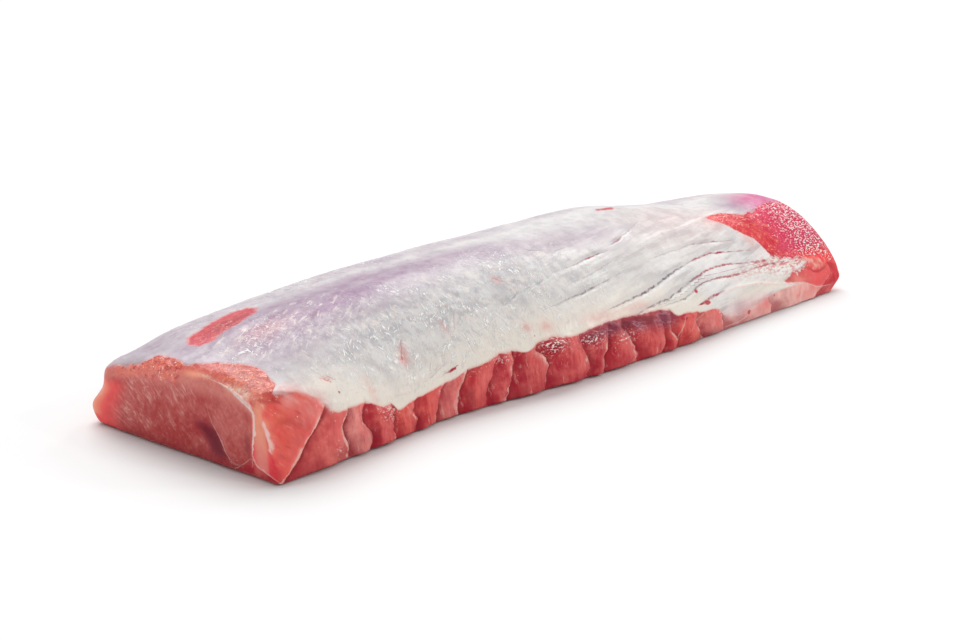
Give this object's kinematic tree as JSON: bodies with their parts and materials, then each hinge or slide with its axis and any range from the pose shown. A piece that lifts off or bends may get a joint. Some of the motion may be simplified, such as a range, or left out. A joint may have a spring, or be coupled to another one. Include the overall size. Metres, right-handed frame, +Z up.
{
  "type": "boneless pork loin roast",
  "caption": "Raw boneless pork loin roast, a long low slab with a domed membrane-covered top, a square cut end, a trimmed front wall of muscle bundles and a rounded tail end.",
  "frame": {"origin": "on the surface that the loin lies on, under the middle of its box", "axes": "+X along the loin from the cut end to the tail end, +Y from the trimmed front wall to the back, +Z up through the membrane side"},
  "size_m": [0.4696, 0.1428, 0.0648],
  "materials": {
    "raw_pork": "wet raw meat under a pale silvery membrane"
  },
  "bodies": {
    "root": {"pork_loin": "raw_pork"}
  },
  "joints": []
}
